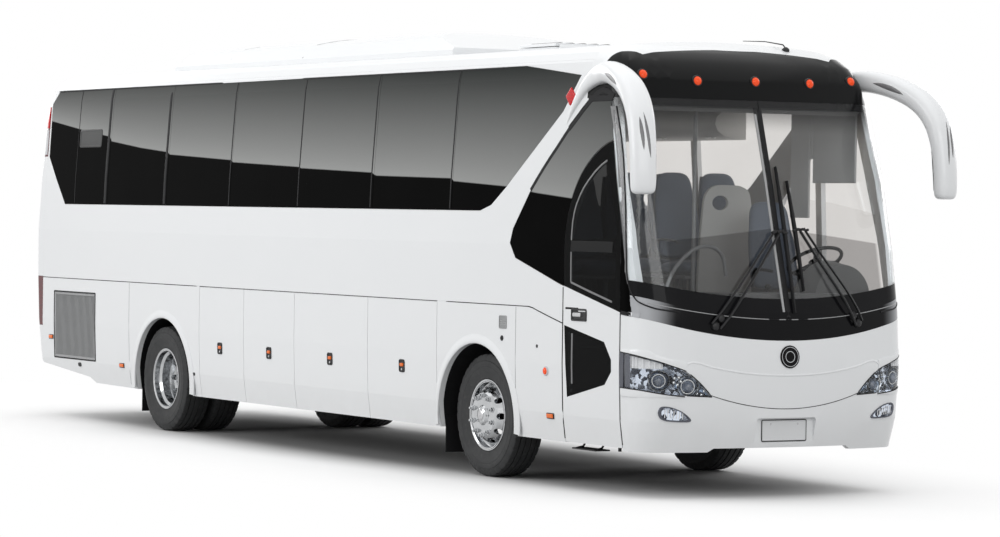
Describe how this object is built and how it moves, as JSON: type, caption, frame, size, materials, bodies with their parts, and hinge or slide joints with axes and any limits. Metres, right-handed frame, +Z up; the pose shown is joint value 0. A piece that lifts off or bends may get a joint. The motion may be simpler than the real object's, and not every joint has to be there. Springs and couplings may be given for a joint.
{
  "type": "coach bus",
  "caption": "High-deck touring coach with a flap-door luggage bay, a swing-out front door, steered front wheels, twin rear wheels and a furnished cabin.",
  "frame": {"origin": "on the ground, midway along the vehicle's whole length with its mirrors, on the centre plane", "axes": "+X forward, +Y to the driver's left, +Z up"},
  "size_m": [12.3085, 3.085, 3.835],
  "materials": {
    "body_paint": "smooth pale grey-white gloss paint",
    "black_gloss": "deep black gloss",
    "dark_glass": "dark tinted glass",
    "black_plastic": "fine grained black plastic",
    "black_rubber": "dull rubber",
    "chassis_paint": "satin black chassis paint",
    "engine_iron": "cast",
    "floor_board": "grey floor covering",
    "grey_plastic": "grained grey plastic",
    "seat_cloth": "dark blue grey moquette",
    "lamp_clear": "clear lens over bright reflectors",
    "lamp_red": "red lens",
    "bright_steel": "satin",
    "chrome": "bright",
    "tyre": "rubber with tread"
  },
  "bodies": {
    "chassis": {"air_springs": "black_rubber", "cab_floor": "floor_board", "chassis_frame": "chassis_paint", "dashboard": "grey_plastic", "driver_seat": "seat_cloth", "engine_block": "engine_iron", "entrance_steps": "floor_board", "front_axle": "chassis_paint", "front_bumper": "body_paint", "front_cap": "black_gloss", "front_lamps": "lamp_clear", "front_mask": "body_paint", "luggage_bay": "floor_board", "luggage_racks": "grey_plastic", "mirrors": "body_paint", "mud_flaps": "black_rubber", "passenger_floor": "floor_board", "passenger_seats": "seat_cloth", "radiator_grilles": "black_plastic", "rear_axle": "chassis_paint", "rear_bumper": "body_paint", "rear_wall": "body_paint", "rear_window": "dark_glass", "roof_panel": "body_paint", "roof_pod": "body_paint", "side_glass": "dark_glass", "side_skirts": "body_paint", "side_walls": "body_paint", "tail_lamps": "lamp_red", "wheel_housings": "black_plastic", "windscreen": "dark_glass", "wiper_panel": "black_gloss", "wipers": "black_plastic"},
    "entrance_door": {"entrance_door": "body_paint", "entrance_door_glass": "dark_glass"},
    "door_arm": {"door_arms": "bright_steel"},
    "engine_hatch": {"engine_hatch": "body_paint"},
    "roof_hatch": {"roof_hatch": "body_paint"},
    "steering_wheel": {"steering_wheel": "black_plastic"},
    "knuckle_left": {"knuckle_left": "chassis_paint"},
    "knuckle_right": {"knuckle_right": "chassis_paint"},
    "front_wheel_left": {"wheel_front_left": "chrome", "tyre_front_left": "tyre"},
    "front_wheel_right": {"wheel_front_right": "chrome", "tyre_front_right": "tyre"},
    "rear_wheels_left": {"wheel_rear_left": "chrome", "tyres_rear_left": "tyre"},
    "rear_wheels_right": {"wheel_rear_right": "chrome", "tyres_rear_right": "tyre"},
    "luggage_door_left_1": {"luggage_door_left_1": "body_paint"},
    "luggage_door_left_2": {"luggage_door_left_2": "body_paint"},
    "luggage_door_left_3": {"luggage_door_left_3": "body_paint"},
    "luggage_door_left_4": {"luggage_door_left_4": "body_paint"},
    "luggage_door_right_1": {"luggage_door_right_1": "body_paint"},
    "luggage_door_right_2": {"luggage_door_right_2": "body_paint"},
    "luggage_door_right_3": {"luggage_door_right_3": "body_paint"},
    "luggage_door_right_4": {"luggage_door_right_4": "body_paint"}
  },
  "joints": [
    {"name": "steering_right", "type": "hinge", "parent": "chassis", "child": "knuckle_right", "pos_m": [3.215, -0.85, 0.515], "axis": [0, 0, 1], "range_deg": [-40, 40]},
    {"name": "front_wheel_roll_right", "type": "hinge", "parent": "knuckle_right", "child": "front_wheel_right", "pos_m": [3.215, -1.04, 0.515], "axis": [0, 1, 0], "continuous": true},
    {"name": "rear_wheel_roll_right", "type": "hinge", "parent": "chassis", "child": "rear_wheels_right", "pos_m": [-3.045, -0.919, 0.515], "axis": [0, 1, 0], "continuous": true},
    {"name": "luggage_door_right_1_lift", "type": "hinge", "parent": "chassis", "child": "luggage_door_right_1", "pos_m": [-1.68, -1.265, 1.439], "axis": [-1, 0, 0], "range_deg": [0, 85]},
    {"name": "luggage_door_right_2_lift", "type": "hinge", "parent": "chassis", "child": "luggage_door_right_2", "pos_m": [-0.67, -1.265, 1.439], "axis": [-1, 0, 0], "range_deg": [0, 85]},
    {"name": "luggage_door_right_3_lift", "type": "hinge", "parent": "chassis", "child": "luggage_door_right_3", "pos_m": [0.5685, -1.265, 1.439], "axis": [-1, 0, 0], "range_deg": [0, 85]},
    {"name": "luggage_door_right_4_lift", "type": "hinge", "parent": "chassis", "child": "luggage_door_right_4", "pos_m": [1.906, -1.265, 1.439], "axis": [-1, 0, 0], "range_deg": [0, 85]},
    {"name": "steering_left", "type": "hinge", "parent": "chassis", "child": "knuckle_left", "pos_m": [3.215, 0.85, 0.515], "axis": [0, 0, 1], "range_deg": [-40, 40]},
    {"name": "front_wheel_roll_left", "type": "hinge", "parent": "knuckle_left", "child": "front_wheel_left", "pos_m": [3.215, 1.04, 0.515], "axis": [0, 1, 0], "continuous": true},
    {"name": "rear_wheel_roll_left", "type": "hinge", "parent": "chassis", "child": "rear_wheels_left", "pos_m": [-3.045, 0.919, 0.515], "axis": [0, 1, 0], "continuous": true},
    {"name": "luggage_door_left_1_lift", "type": "hinge", "parent": "chassis", "child": "luggage_door_left_1", "pos_m": [-1.68, 1.265, 1.439], "axis": [1, 0, 0], "range_deg": [0, 85]},
    {"name": "luggage_door_left_2_lift", "type": "hinge", "parent": "chassis", "child": "luggage_door_left_2", "pos_m": [-0.67, 1.265, 1.439], "axis": [1, 0, 0], "range_deg": [0, 85]},
    {"name": "luggage_door_left_3_lift", "type": "hinge", "parent": "chassis", "child": "luggage_door_left_3", "pos_m": [0.5685, 1.265, 1.439], "axis": [1, 0, 0], "range_deg": [0, 85]},
    {"name": "luggage_door_left_4_lift", "type": "hinge", "parent": "chassis", "child": "luggage_door_left_4", "pos_m": [1.906, 1.265, 1.439], "axis": [1, 0, 0], "range_deg": [0, 85]},
    {"name": "steering_wheel_turn", "type": "hinge", "parent": "chassis", "child": "steering_wheel", "pos_m": [5.15, 0.78, 1.85], "axis": [-0.5, 0, 0.866], "range_deg": [-640, 640]},
    {"name": "door_arm_swing", "type": "hinge", "parent": "chassis", "child": "door_arm", "pos_m": [5.38, -1.165, 1.2], "axis": [0, 0, 1], "range_deg": [0, 105]},
    {"name": "entrance_door_swing", "type": "hinge", "parent": "door_arm", "child": "entrance_door", "pos_m": [4.93, -1.165, 1.2], "axis": [0, 0, 1], "range_deg": [-105, 0]},
    {"name": "engine_hatch_lift", "type": "hinge", "parent": "chassis", "child": "engine_hatch", "pos_m": [-6.2025, 0, 1.7], "axis": [0, 1, 0], "range_deg": [0, 80]},
    {"name": "roof_hatch_lift", "type": "hinge", "parent": "chassis", "child": "roof_hatch", "pos_m": [2.862, 0, 3.651], "axis": [0, 1, 0], "range_deg": [0, 60]}
  ],
  "couplings": [
    {"joint": "steering_left", "follows": "steering_right", "ratio": 1},
    {"joint": "steering_wheel_turn", "follows": "steering_right", "ratio": 16},
    {"joint": "entrance_door_swing", "follows": "door_arm_swing", "ratio": -1}
  ]
}
